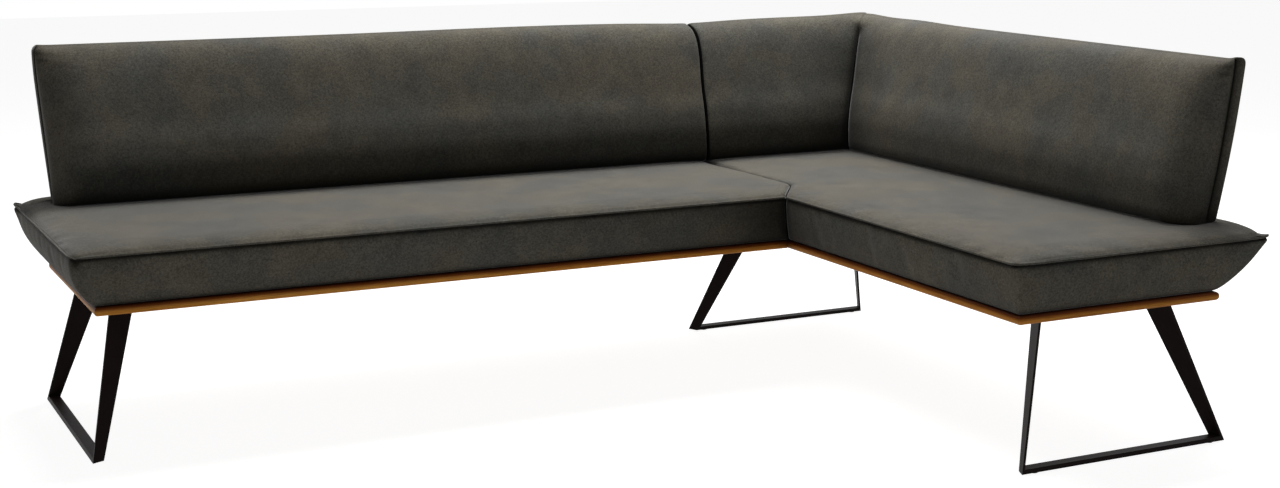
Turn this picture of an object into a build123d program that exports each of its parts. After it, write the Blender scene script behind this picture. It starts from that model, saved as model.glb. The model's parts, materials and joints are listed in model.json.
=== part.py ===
from build123d import *

import math
import os

os.makedirs("parts", exist_ok=True)

# Corner bench of two modules: a long wing on the left, and a short wing that carries the corner.
# The origin lies on the floor, under the centre of the outline of the seats. +X runs along the long
# wing towards the corner, and +Y runs towards the backrest of the long wing.

# Overall outline, over the seams of the seats
overall_length = 2486
overall_depth = 1656
backrest_top_z = 873

# Heights
glide_t = 2
plinth_bottom_z = 339
plinth_t = 21
seat_seam_z = 475
seat_crown = 19

# Oak plinth, under the seats
plinth_depth = 565
rear_flare = 129
front_overhang = 24
long_end_overhang = 41
short_end_overhang = 11
rail_w = 140
middle_rail_w = 90
nose_r = 9
joint_setover = 55
joint_gap = 0.6

# Seat cushions
cushion_setback = 5
corner_low_r = 6
corner_r = 16
crown_run = 120
mitre_run = 104
crown_round_share = 0.25
cover_t = 2
flange_w = 16
dust_cover_t = 1
fit = 0.3

# Beech frames and webbing inside the seats
frame_setback = 17
frame_rail_t = 25
frame_rail_h = 58
cross_rail_count = 3
strap_w = 60
strap_t = 2
long_strap_count = 8
short_strap_count = 7

# Backrests
back_gap = 1.2
mitre_gap = 0.3
back_front_setback = 55
back_lean = 160
back_rear_low = 85
back_rear_lean = 40
long_back_end = 68
short_back_end = 124
back_end_flare = 24
free_end_r = 42
joint_end_r = 16
rear_edge_r = 8
outer_corner_r = 30
outer_r_share = 0.8
back_board_t = 15
back_board_cover = 12
back_board_end = 45
board_low_share = 0.03
board_high_share = 0.93

# Steel brackets that carry the backrests
bracket_w = 40
bracket_t = 6
bracket_foot_up = 6
bracket_inset = 160
bracket_rise = 140
bracket_slot_gap = 0.6

# Steel runners
foot_length = 586
foot_t = 10
toe_in = 23.7
leg_w_low = 28.5
leg_w_high = 65
leg_t = 6
runner_lean = 72
steep_run = 88
slanted_run = 131
top_plate_t = 5
top_plate_margin = 12
long_runner_inset = 30
long_runner_proud = 16
front_runner_inset = 28
front_runner_setback = 4
middle_runner_inset = 15
middle_runner_setback = 2

# Fasteners
screw_d = 5
screw_head_d = 10
screw_head_h = 3
screw_hole_gap = 0.2
runner_screw_l = 18
frame_screw_l = 45
frame_screw_recess = 6
connector_l = 110
connector_w = 36
connector_t = 3
connector_hole_shares = (0.2, 0.4)
glide_d = 22
glide_inset = 40
connector_inset = 60
frame_screw_inset = 70
plate_screw_pairs = 3
long_frame_screws = 5
short_frame_screws = 3
bracket_count = 3
overrun = 5

# Places that follow from the sizes
right = overall_length / 2
left = -right
rear = overall_depth / 2
front = -rear
plinth_right = right - rear_flare
plinth_rear = rear - rear_flare
plinth_left = left + long_end_overhang
plinth_front = front + short_end_overhang
inner_x = plinth_right - plinth_depth
inner_y = plinth_rear - plinth_depth
joint_x = inner_x + joint_setover
plinth_top_z = plinth_bottom_z + plinth_t
seat_top_z = seat_seam_z + seat_crown
frame_bottom_z = plinth_top_z + cover_t
frame_top_z = frame_bottom_z + frame_rail_h
back_bottom_z = seat_top_z + fit
hole_d = screw_d + 2 * screw_hole_gap


def save(piece, name):
    piece.part.label = name
    export_step(piece.part, "parts/" + name + ".step")


def slab(points, low, high):
    with BuildPart() as piece:
        with BuildSketch(Plane.XY.offset(low)):
            with BuildLine():
                Polyline(*points, close=True)
            make_face()
        extrude(amount=high - low)
    return piece


def drilled(piece, planes, diameter, depth):
    # Holes of one depth, each down the plane's own axis from its origin
    with BuildPart() as result:
        add(piece.part)
        with Locations(*planes):
            Cylinder(diameter / 2, depth, align=(Align.CENTER, Align.CENTER, Align.MIN), mode=Mode.SUBTRACT)
    return result


def screws(planes, length):
    # Identical screws: each head lies under its plane and the shank runs up the axis
    with BuildPart() as group:
        with Locations(*planes):
            Cylinder(screw_d / 2, length, align=(Align.CENTER, Align.CENTER, Align.MIN))
            Cylinder(screw_head_d / 2, screw_head_h, align=(Align.CENTER, Align.CENTER, Align.MAX))
    return group


def upright(x, y, z):
    return Plane(origin=(x, y, z))


# The modules meet along a short mitre from the inner corner, then straight to the rear
def joint_side(x_shift, far_x):
    # The ground beside the joint line, shifted along X, out to far_x
    near_y = inner_y - front_overhang
    return [
        (inner_x - front_overhang + x_shift, near_y),
        (joint_x + x_shift, near_y + mitre_run),
        (joint_x + x_shift, rear + overrun),
        (far_x, rear + overrun),
        (far_x, near_y - overrun),
        (inner_x - front_overhang + x_shift, near_y - overrun),
    ]


# The sides of a seat swell a little from the plinth up to the seam: height shares and inset shares
side_height_shares = (0, 0.35, 0.7, 1)
side_inset_shares = (1, 0.52, 0.17, 0)
crown_angles = (0, 30, 60, 90)


def long_outline(front_in, rear_in, end_in):
    return (left + end_in, joint_x + rail_w, inner_y - front_overhang + front_in, rear - rear_in)


def short_outline(front_in, rear_in, end_in):
    return (inner_x - front_overhang + front_in, right - rear_in, front + end_in, rear - rear_in)


def seat_section(bounds, z, radius):
    x0, x1, y0, y1 = bounds
    with BuildSketch(Plane.XY.offset(z)) as section:
        with Locations(((x0 + x1) / 2, (y0 + y1) / 2)):
            RectangleRounded(x1 - x0, y1 - y0, radius)
    return section.sketch


def seat_form(outline, end_overhang, joint_shift, cut_away_x, skin):
    # Sides up to the seam, then the crown, cut off along the joint. skin draws every face in alike.
    side_h = seat_seam_z - plinth_top_z
    side_sections = []
    for height_share, inset_share in zip(side_height_shares, side_inset_shares):
        bounds = outline(
            inset_share * (front_overhang + cushion_setback) + skin,
            inset_share * (rear_flare + cushion_setback) + skin,
            inset_share * (end_overhang + cushion_setback) + skin,
        )
        z = plinth_top_z + skin + height_share * (side_h - skin)
        radius = corner_low_r + (corner_r - corner_low_r) * height_share
        side_sections.append(seat_section(bounds, z, radius))
    crown_sections = []
    for angle in crown_angles:
        inset = skin + crown_run * (1 - math.cos(math.radians(angle)))
        z = seat_seam_z + (seat_crown - skin) * math.sin(math.radians(angle))
        radius = corner_r + crown_round_share * inset
        crown_sections.append(seat_section(outline(inset, inset, inset), z, radius))
    with BuildPart() as form:
        loft(side_sections)
        loft(crown_sections)
        with BuildSketch(Plane.XY.offset(plinth_top_z)):
            with BuildLine():
                Polyline(*joint_side(joint_shift, cut_away_x), close=True)
            make_face()
        extrude(amount=seat_top_z - plinth_top_z + overrun, mode=Mode.SUBTRACT)
    return form


# Backrest profile: height shares, how far the front has leaned back there, and how far the rear is drawn in
back_height_shares = (0, 0.05, 0.22, 0.36, 0.52, 0.69, 0.83, 0.91, 0.965, 1)
back_lean_shares = (0.09, 0.02, 0, 0.07, 0.22, 0.37, 0.51, 0.66, 0.85, 0.97)
back_pull_shares = (0, 0, 0, 0, 0, 0, 0, 0, 0.05, 0.2)
across = plinth_right - plinth_rear


def back_rear_y(height_share):
    return plinth_rear + back_rear_low + back_rear_lean * height_share


def back_section(z, x0, y0, x1, y1, end_r, mitred):
    # The front faces -Y. The right end is either free or cut along the mitre of the corner.
    depth = y1 - y0
    front_r = min(end_r, depth / 3)
    rear_r = min(rear_edge_r, depth / 3)
    far_r = min(joint_end_r, depth / 3)
    outer_r = min(outer_corner_r, outer_r_share * depth)
    with BuildSketch(Plane.XY.offset(z)) as section:
        with BuildLine():
            if mitred:
                inner_point = (y0 + across - mitre_gap, y0)
                outer_in = outer_r * (1 - math.sqrt(0.5))
                outer_point = (y1 + across - outer_in - mitre_gap, y1 - outer_in)
                rear_start = (y1 + across - outer_r, y1)
                Line((x0 + front_r, y0), inner_point)
                Line(inner_point, outer_point)
                RadiusArc(outer_point, rear_start, -outer_r)
            else:
                rear_start = (x1 - rear_r, y1)
                Line((x0 + front_r, y0), (x1 - far_r, y0))
                RadiusArc((x1 - far_r, y0), (x1, y0 + far_r), -far_r)
                Line((x1, y0 + far_r), (x1, y1 - rear_r))
                RadiusArc((x1, y1 - rear_r), rear_start, -rear_r)
            Line(rear_start, (x0 + rear_r, y1))
            RadiusArc((x0 + rear_r, y1), (x0, y1 - rear_r), -rear_r)
            Line((x0, y1 - rear_r), (x0, y0 + front_r))
            RadiusArc((x0, y0 + front_r), (x0 + front_r, y0), -front_r)
        make_face()
    return section.sketch


def back_form(end_x, flare, end_r, far_x, mitred, skin):
    # A backrest in the direction of the long wing, from its left end to far_x or to the corner
    back_h = backrest_top_z - back_bottom_z
    sections = []
    for height_share, lean_share, pull_share in zip(back_height_shares, back_lean_shares, back_pull_shares):
        z = back_bottom_z + skin + height_share * (back_h - 2 * skin)
        y0 = plinth_rear - back_front_setback + back_lean * lean_share + skin
        y1 = back_rear_y(height_share) - back_rear_lean * pull_share - skin
        x0 = end_x - flare * height_share + skin
        sections.append(back_section(z, x0, y0, far_x - skin, y1, end_r, mitred))
    with BuildPart() as form:
        loft(sections)
    return form


def turned(piece):
    # From the direction of the long wing to that of the short wing, about the mitre of the corner
    with BuildPart() as result:
        mirror(piece.part, about=Plane(origin=(across, 0, 0), z_dir=(1, -1, 0)))
    return result


def back_board(start_x, far_x, mitred):
    # A plywood board that leans with the rear of the backrest
    with BuildPart() as board:
        for height_share in (board_low_share, board_high_share):
            z = back_bottom_z + height_share * (backrest_top_z - back_bottom_z)
            y1 = back_rear_y(height_share) - back_board_cover
            y0 = y1 - back_board_t
            ends = (y0 + across - mitre_gap, y1 + across - mitre_gap) if mitred else (far_x, far_x)
            with BuildSketch(Plane.XY.offset(z)):
                with BuildLine():
                    Polyline((start_x, y0), (ends[0], y0), (ends[1], y1), (start_x, y1), close=True)
                make_face()
        loft(ruled=True)
    return board


# A bracket starts on the rear rail of a seat, leans back through the seat and rises in front of the board
frame_rear_y = plinth_rear - frame_setback
board_front_low_y = back_rear_y(board_low_share) - back_board_cover - back_board_t
board_low_z = back_bottom_z + board_low_share * (backrest_top_z - back_bottom_z)


def bracket(x, grow):
    # grow widens it on every side, for the slots that it passes through
    top_z = board_low_z + bracket_rise
    board_slope = back_rear_lean / (backrest_top_z - back_bottom_z)
    with BuildPart() as piece:
        with BuildSketch(Plane.YZ.offset(x - bracket_w / 2 - grow)):
            with BuildLine():
                Polyline(
                    (frame_rear_y - grow, frame_bottom_z + bracket_foot_up - grow),
                    (frame_rear_y - grow, frame_top_z - grow),
                    (board_front_low_y - bracket_t - grow, board_low_z - grow),
                    (board_front_low_y - bracket_t - grow + board_slope * bracket_rise, top_z + grow),
                    (board_front_low_y + grow + board_slope * bracket_rise, top_z + grow),
                    (board_front_low_y + grow, board_low_z - grow),
                    (frame_rear_y + bracket_t + grow, frame_top_z - grow - bracket_t),
                    (frame_rear_y + bracket_t + grow, frame_bottom_z + bracket_foot_up - grow),
                    close=True,
                )
            make_face()
        extrude(amount=bracket_w + 2 * grow)
    return piece


# Oak plinth rails. The nose is rounded along the outer edge of each.
joint_left_x = joint_x - joint_gap / 2
joint_right_x = joint_x + joint_gap / 2


def plinth_rail(points, nose_axis=None, side_axis=None, side=0):
    with BuildPart() as rail:
        with BuildSketch(Plane.XY.offset(plinth_bottom_z)):
            with BuildLine():
                Polyline(*points, close=True)
            make_face()
        extrude(amount=plinth_t)
        if nose_axis:
            fillet(rail.edges().filter_by(nose_axis).group_by(side_axis)[side], nose_r)
    return rail


def box_points(x0, x1, y0, y1):
    return [(x0, y0), (x1, y0), (x1, y1), (x0, y1)]


def spread(start, end, count):
    # Evenly spaced places from start to end
    return [start + (end - start) * i / (count - 1) for i in range(count)]


plinth_rails = {
    "long_plinth_front_rail": plinth_rail(
        [
            (plinth_left, inner_y),
            (inner_x - joint_gap / 2, inner_y),
            (joint_left_x, inner_y + rail_w),
            (plinth_left + rail_w, inner_y + rail_w),
        ],
        Axis.X, Axis.Y, 0,
    ),
    "long_plinth_end_rail": plinth_rail(
        [
            (plinth_left, inner_y),
            (plinth_left + rail_w, inner_y + rail_w),
            (plinth_left + rail_w, plinth_rear - rail_w),
            (plinth_left, plinth_rear),
        ],
        Axis.Y, Axis.X, 0,
    ),
    "long_plinth_rear_rail": plinth_rail(
        [
            (plinth_left, plinth_rear),
            (plinth_left + rail_w, plinth_rear - rail_w),
            (joint_left_x, plinth_rear - rail_w),
            (joint_left_x, plinth_rear),
        ],
        Axis.X, Axis.Y, -1,
    ),
    "long_plinth_joint_rail": plinth_rail(
        box_points(joint_left_x - rail_w, joint_left_x, inner_y + rail_w, plinth_rear - rail_w)
    ),
    "long_plinth_middle_rail": plinth_rail(
        box_points(
            (plinth_left + inner_x - middle_rail_w) / 2,
            (plinth_left + inner_x + middle_rail_w) / 2,
            inner_y + rail_w,
            plinth_rear - rail_w,
        )
    ),
    "short_plinth_inner_rail": plinth_rail(
        [
            (inner_x, plinth_front),
            (inner_x + rail_w, plinth_front + rail_w),
            (inner_x + rail_w, inner_y + rail_w),
            (joint_right_x, inner_y + rail_w),
            (inner_x, inner_y),
        ],
        Axis.Y, Axis.X, 0,
    ),
    "short_plinth_front_rail": plinth_rail(
        [
            (inner_x, plinth_front),
            (plinth_right, plinth_front),
            (plinth_right - rail_w, plinth_front + rail_w),
            (inner_x + rail_w, plinth_front + rail_w),
        ],
        Axis.X, Axis.Y, 0,
    ),
    "short_plinth_outer_rail": plinth_rail(
        [
            (plinth_right, plinth_front),
            (plinth_right, plinth_rear),
            (plinth_right - rail_w, plinth_rear - rail_w),
            (plinth_right - rail_w, plinth_front + rail_w),
        ],
        Axis.Y, Axis.X, -1,
    ),
    "short_plinth_rear_rail": plinth_rail(
        [
            (plinth_right, plinth_rear),
            (joint_right_x, plinth_rear),
            (joint_right_x, plinth_rear - rail_w),
            (plinth_right - rail_w, plinth_rear - rail_w),
        ],
        Axis.X, Axis.Y, -1,
    ),
    "short_plinth_joint_rail": plinth_rail(
        box_points(joint_right_x, joint_right_x + rail_w, inner_y + rail_w, plinth_rear - rail_w)
    ),
    "short_plinth_middle_rail": plinth_rail(
        box_points(
            inner_x + rail_w,
            plinth_right - rail_w,
            (plinth_front + inner_y - middle_rail_w) / 2,
            (plinth_front + inner_y + middle_rail_w) / 2,
        )
    ),
}

# Steel runners: a foot bar, two tapered legs that toe in, and a top plate, all welded
toe_sin = math.sin(math.radians(toe_in))
toe_cos = math.cos(math.radians(toe_in))
leg_along = leg_t / toe_cos


def leg_width(z):
    return leg_w_low + (leg_w_high - leg_w_low) * z / plinth_bottom_z


def leg_section(z, run, from_end):
    # from_end turns the section round for the leg at the far end of the foot bar
    rise = z / plinth_bottom_z
    outer = (run * rise, -runner_lean * rise)
    inner = (outer[0] + leg_width(z) * toe_sin, outer[1] - leg_width(z) * toe_cos)
    points = [outer, (outer[0] + leg_along, outer[1]), (inner[0] + leg_along, inner[1]), inner]
    return [(foot_length - u, v) for u, v in points] if from_end else points


def leg(place, run, from_end):
    with BuildPart() as piece:
        for z in (glide_t, plinth_bottom_z - top_plate_t):
            with BuildSketch(place.offset(z)):
                with BuildLine():
                    Polyline(*leg_section(z, run, from_end), close=True)
                make_face()
        loft(ruled=True)
    return piece


def foot_bar(place, first_run, last_run):
    width = leg_w_low * toe_cos
    toe = leg_w_low * toe_sin
    with BuildPart() as piece:
        for z in (glide_t, glide_t + foot_t):
            rise = z / plinth_bottom_z
            shift = -runner_lean * rise
            start = first_run * rise + leg_along
            end = foot_length - last_run * rise - leg_along
            with BuildSketch(place.offset(z)):
                with BuildLine():
                    Polyline(
                        (start, shift),
                        (end, shift),
                        (end - toe, shift - width),
                        (start + toe, shift - width),
                        close=True,
                    )
                make_face()
        loft(ruled=True)
    return piece


def top_plate_bounds(first_run, last_run):
    return (
        first_run - top_plate_margin,
        foot_length - last_run + top_plate_margin,
        -runner_lean - leg_w_high * toe_cos - top_plate_margin,
        -runner_lean + top_plate_margin,
    )


def plate_screw_planes(place, first_run, last_run):
    u0, u1, v0, v1 = top_plate_bounds(first_run, last_run)
    inset = (v1 - v0) / 4
    legs_clear = leg_w_high + top_plate_margin
    pairs = spread(u0 + legs_clear, u1 - legs_clear, plate_screw_pairs)
    spots = [(u, v) for u in pairs for v in (v0 + inset, v1 - inset)]
    level = place.offset(plinth_bottom_z - top_plate_t)
    return [
        Plane(origin=level.from_local_coords((u, v, 0)), x_dir=place.x_dir, z_dir=place.z_dir)
        for u, v in spots
    ]


def top_plate(place, first_run, last_run):
    u0, u1, v0, v1 = top_plate_bounds(first_run, last_run)
    with BuildPart() as piece:
        with BuildSketch(place.offset(plinth_bottom_z - top_plate_t)):
            with BuildLine():
                Polyline(*box_points(u0, u1, v0, v1), close=True)
            make_face()
        extrude(amount=top_plate_t)
    return drilled(piece, plate_screw_planes(place, first_run, last_run), hole_d, top_plate_t)


runners = {
    "long_runner": (
        Plane(origin=(plinth_left - long_runner_proud, inner_y + long_runner_inset, 0), x_dir=(0, 1, 0)),
        steep_run,
        slanted_run,
    ),
    "front_runner": (
        Plane(
            origin=(inner_x + front_runner_inset + foot_length, plinth_front + front_runner_setback, 0),
            x_dir=(-1, 0, 0),
        ),
        slanted_run,
        steep_run,
    ),
    "corner_runner": (
        Plane(
            origin=(inner_x + middle_runner_inset, plinth_rear - middle_runner_setback, 0),
            x_dir=(1, 0, 0),
        ),
        slanted_run,
        steep_run,
    ),
}

plate_screws = []
glide_spots = []
for name, (place, first_run, last_run) in runners.items():
    save(foot_bar(place, first_run, last_run), name + "_foot_bar")
    save(leg(place, first_run, False), name + "_first_leg")
    save(leg(place, last_run, True), name + "_last_leg")
    save(top_plate(place, first_run, last_run), name + "_top_plate")
    plate_screws += plate_screw_planes(place, first_run, last_run)
    for u in (glide_inset, foot_length - glide_inset):
        glide_spots.append(place.from_local_coords((u, -leg_w_low * toe_cos / 2, 0)))
save(screws(plate_screws, runner_screw_l), "runner_screws")

with BuildPart() as floor_glides:
    with Locations(*glide_spots):
        Cylinder(glide_d / 2, glide_t, align=(Align.CENTER, Align.CENTER, Align.MIN))
save(floor_glides, "floor_glides")

# Plates under the plinths that hold the two modules together
connector_ys = (inner_y + rail_w + connector_inset, plinth_rear - rail_w - connector_inset)
connector_xs = [joint_x + side * share * connector_l for side in (-1, 1) for share in connector_hole_shares]
connector_planes = [
    upright(x, y, plinth_bottom_z - connector_t) for y in connector_ys for x in connector_xs
]
with BuildPart() as connector_plates:
    with Locations(*[(joint_x, y, plinth_bottom_z) for y in connector_ys]):
        Box(connector_l, connector_w, connector_t, align=(Align.CENTER, Align.CENTER, Align.MAX))
save(drilled(connector_plates, connector_planes, hole_d, connector_t), "connector_plates")
save(screws(connector_planes, runner_screw_l), "connector_screws")

# Beech seat frames, as plain rails on edge
long_frame = (plinth_left + frame_setback, inner_x - frame_setback, inner_y + frame_setback, frame_rear_y)
short_frame_x = (inner_x + frame_setback, plinth_right - frame_setback)
short_frame_y = (plinth_front + frame_setback, frame_rear_y)
step_y = inner_y - frame_setback
step_x = joint_x + frame_setback


def frame_rail(x0, x1, y0, y1):
    return slab(box_points(x0, x1, y0, y1), frame_bottom_z, frame_top_z)


def cross_rails(places, x_wide, y_wide):
    with BuildPart() as group:
        with Locations(*[(x, y, frame_bottom_z) for x, y in places]):
            Box(x_wide, y_wide, frame_rail_h, align=(Align.CENTER, Align.CENTER, Align.MIN))
    return group


fx0, fx1, fy0, fy1 = long_frame
gx0, gx1 = short_frame_x
gy0, gy1 = short_frame_y
rails = {
    "long_seat_front_rail": frame_rail(fx0, fx1, fy0, fy0 + frame_rail_t),
    "long_seat_rear_rail": frame_rail(fx0, fx1, fy1 - frame_rail_t, fy1),
    "long_seat_left_rail": frame_rail(fx0, fx0 + frame_rail_t, fy0 + frame_rail_t, fy1 - frame_rail_t),
    "long_seat_right_rail": frame_rail(fx1 - frame_rail_t, fx1, fy0 + frame_rail_t, fy1 - frame_rail_t),
    "short_seat_front_rail": frame_rail(gx0, gx1, gy0, gy0 + frame_rail_t),
    "short_seat_outer_rail": frame_rail(gx1 - frame_rail_t, gx1, gy0 + frame_rail_t, gy1 - frame_rail_t),
    "short_seat_rear_rail": frame_rail(step_x, gx1, gy1 - frame_rail_t, gy1),
    "short_seat_inner_rail": frame_rail(gx0, gx0 + frame_rail_t, gy0 + frame_rail_t, step_y - frame_rail_t),
    "short_seat_step_rail": frame_rail(gx0, step_x + frame_rail_t, step_y - frame_rail_t, step_y),
    "short_seat_joint_rail": frame_rail(step_x, step_x + frame_rail_t, step_y, gy1 - frame_rail_t),
}
long_cross_xs = spread(fx0, fx1, cross_rail_count + 2)[1:-1]
short_cross_ys = spread(gy0, step_y, cross_rail_count + 1)[1:-1]
save(
    cross_rails([(x, (fy0 + fy1) / 2) for x in long_cross_xs], frame_rail_t, fy1 - fy0 - 2 * frame_rail_t),
    "long_seat_cross_rails",
)
save(
    cross_rails([((gx0 + gx1) / 2, y) for y in short_cross_ys], gx1 - gx0 - 2 * frame_rail_t, frame_rail_t),
    "short_seat_cross_rails",
)

# Screws from under the plinths into the seat frames, with sunk heads
head_z = plinth_bottom_z + frame_screw_recess
rail_mid = frame_rail_t / 2
frame_screw_planes = [
    upright(x, y, head_z)
    for x in spread(fx0 + frame_screw_inset, fx1 - frame_screw_inset, long_frame_screws)
    for y in (fy0 + rail_mid, fy1 - rail_mid)
]
frame_screw_planes += [
    upright(gx0 + rail_mid, y, head_z)
    for y in spread(gy0 + frame_screw_inset, step_y - frame_screw_inset, short_frame_screws)
]
frame_screw_planes += [
    upright(gx1 - rail_mid, y, head_z)
    for y in spread(gy0 + frame_screw_inset, gy1 - frame_screw_inset, long_frame_screws)
]
sink_planes = [upright(p.origin.X, p.origin.Y, plinth_bottom_z) for p in frame_screw_planes]
save(screws(frame_screw_planes, frame_screw_l), "frame_screws")
pilot_l = runner_screw_l + screw_hole_gap
for name in plinth_rails:
    pilot_drilled = drilled(plinth_rails[name], plate_screws + connector_planes, hole_d, pilot_l)
    sunk = drilled(pilot_drilled, sink_planes, screw_head_d + 2 * screw_hole_gap, frame_screw_recess)
    plinth_rails[name] = drilled(sunk, sink_planes, hole_d, plinth_t)
    save(plinth_rails[name], name)

# Brackets in the direction of the long wing, and those that are turned for the short wing
back_end_x = left + long_back_end
short_end_x = front + short_back_end + across
long_bracket_xs = spread(back_end_x + bracket_inset, joint_left_x - bracket_inset, bracket_count)
corner_bracket_xs = [(joint_right_x + plinth_right) / 2]
short_bracket_xs = spread(short_end_x + bracket_inset, plinth_right - rail_w - bracket_inset, bracket_count)


def bracket_screw_planes(xs):
    z = frame_bottom_z + bracket_foot_up
    heights = (z + screw_head_d, frame_top_z - bracket_t - screw_head_d)
    return [Plane(origin=(x, frame_rear_y + bracket_t, h), z_dir=(0, -1, 0)) for x in xs for h in heights]


straight_planes = bracket_screw_planes(long_bracket_xs + corner_bracket_xs)
turned_planes = bracket_screw_planes(short_bracket_xs)
bracket_screw_l = bracket_t + frame_rail_t - screw_head_h


def brackets(xs, planes):
    with BuildPart() as group:
        for x in xs:
            add(bracket(x, 0).part)
    return drilled(group, planes, hole_d, bracket_t)


straight_brackets = brackets(long_bracket_xs + corner_bracket_xs, straight_planes)
turned_brackets = turned(brackets(short_bracket_xs, turned_planes))
with BuildPart() as back_brackets:
    add(straight_brackets.part)
    add(turned_brackets.part)
save(back_brackets, "back_brackets")
with BuildPart() as bracket_screws:
    add(screws(straight_planes, bracket_screw_l).part)
    add(turned(screws(turned_planes, bracket_screw_l)).part)
save(bracket_screws, "bracket_screws")

# The rails are drilled for the frame screws and for the bracket screws
bracket_pilot_l = bracket_screw_l + screw_hole_gap
with BuildPart() as turned_pilots:
    with Locations(*turned_planes):
        Cylinder(hole_d / 2, bracket_pilot_l, align=(Align.CENTER, Align.CENTER, Align.MIN))
turned_pilots = turned(turned_pilots)
for name in rails:
    frame_drilled = drilled(rails[name], frame_screw_planes, hole_d, frame_screw_l + screw_hole_gap)
    rear_drilled = drilled(frame_drilled, straight_planes, hole_d, bracket_pilot_l)
    with BuildPart() as finished_rail:
        add(rear_drilled.part)
        add(turned_pilots.part, mode=Mode.SUBTRACT)
    save(finished_rail, name)

# Elastic webbing across each frame
with BuildPart() as long_webbing:
    for x in spread(fx0 + strap_w, fx1 - strap_w, long_strap_count):
        with Locations((x, (fy0 + fy1) / 2, frame_top_z)):
            Box(strap_w, fy1 - fy0, strap_t, align=(Align.CENTER, Align.CENTER, Align.MIN))
save(long_webbing, "long_seat_webbing")

with BuildPart() as short_webbing:
    for y in spread(gy0 + strap_w, gy1 - strap_w, short_strap_count):
        start_x = gx0 if y + strap_w / 2 < step_y else step_x
        with Locations(((start_x + gx1) / 2, y, frame_top_z)):
            Box(gx1 - start_x, strap_w, strap_t, align=(Align.CENTER, Align.CENTER, Align.MIN))
save(short_webbing, "short_seat_webbing")

# Plan of each frame, grown or drawn in by one length all round


def long_plan(inset):
    return box_points(fx0 + inset, fx1 - inset, fy0 + inset, fy1 - inset)


def short_plan(inset):
    return [
        (gx0 + inset, gy0 + inset),
        (gx1 - inset, gy0 + inset),
        (gx1 - inset, gy1 - inset),
        (step_x + inset, gy1 - inset),
        (step_x + inset, step_y - inset),
        (gx0 + inset, step_y - inset),
    ]


def bracket_room(xs, planes, grow):
    # Room for the brackets and for the heads of their screws
    with BuildPart() as room:
        for x in xs:
            add(bracket(x, grow).part)
        with Locations(*planes):
            Cylinder(
                screw_head_d / 2 + grow,
                screw_head_h + grow,
                align=(Align.CENTER, Align.CENTER, Align.MAX),
            )
    return room


def seat_slots(grow):
    with BuildPart() as slots:
        add(bracket_room(long_bracket_xs + corner_bracket_xs, straight_planes, grow).part)
        add(turned(bracket_room(short_bracket_xs, turned_planes, grow)).part)
    return slots


slots = seat_slots(bracket_slot_gap)
seats = {
    "long_seat": (long_outline, long_end_overhang, -1, right + overrun, long_plan),
    "short_seat": (short_outline, short_end_overhang, 1, left, short_plan),
}
for name, (outline, end_overhang, side, cut_away_x, plan) in seats.items():
    outer = seat_form(outline, end_overhang, side * joint_gap / 2, cut_away_x, 0)
    inner = seat_form(outline, end_overhang, side * (joint_gap / 2 + cover_t), cut_away_x, cover_t)
    opening = slab(plan(flange_w), plinth_top_z, frame_bottom_z)
    with BuildPart() as cover:
        add(outer.part)
        add(inner.part, mode=Mode.SUBTRACT)
        add(opening.part, mode=Mode.SUBTRACT)
        add(slots.part, mode=Mode.SUBTRACT)
    save(drilled(cover, sink_planes, hole_d, plinth_t + cover_t), name + "_cover")

    foam_skin = cover_t + fit
    body = seat_form(outline, end_overhang, side * (joint_gap / 2 + foam_skin), cut_away_x, foam_skin)
    pocket = slab(plan(-fit), plinth_top_z, frame_top_z + strap_t + fit)
    with BuildPart() as foam:
        add(body.part)
        add(pocket.part, mode=Mode.SUBTRACT)
        add(slots.part, mode=Mode.SUBTRACT)
    save(foam, name + "_foam")
    save(slab(plan(flange_w + fit), frame_bottom_z - dust_cover_t, frame_bottom_z), name + "_dust_cover")

# Backrests: a board, foam round it and a cover over it all
backs = {
    "long_back": (back_end_x, back_end_flare, free_end_r, joint_x - back_gap / 2, False),
    "corner_back": (joint_x + back_gap / 2, 0, joint_end_r, plinth_right, True),
    "short_back": (short_end_x, back_end_flare, free_end_r, plinth_right, True),
}
for name, (end_x, flare, end_r, far_x, mitred) in backs.items():
    outer = back_form(end_x, flare, end_r, far_x, mitred, 0)
    inner = back_form(end_x, flare, end_r, far_x, mitred, cover_t)
    core = back_form(end_x, flare, end_r, far_x, mitred, cover_t + fit)
    board = back_board(end_x + back_board_end, far_x - back_board_end, mitred)
    if name == "short_back":
        outer, inner, core, board = turned(outer), turned(inner), turned(core), turned(board)
    with BuildPart() as cover:
        add(outer.part)
        add(inner.part, mode=Mode.SUBTRACT)
        add(slots.part, mode=Mode.SUBTRACT)
    with BuildPart() as foam:
        add(core.part)
        add(board.part, mode=Mode.SUBTRACT)
        add(slots.part, mode=Mode.SUBTRACT)
    save(cover, name + "_cover")
    save(foam, name + "_foam")
    save(board, name + "_board")
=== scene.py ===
import json
import math
from collections import namedtuple
from types import SimpleNamespace

import bmesh
import bpy
import numpy as np
from mathutils import Matrix, Vector, noise


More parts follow.
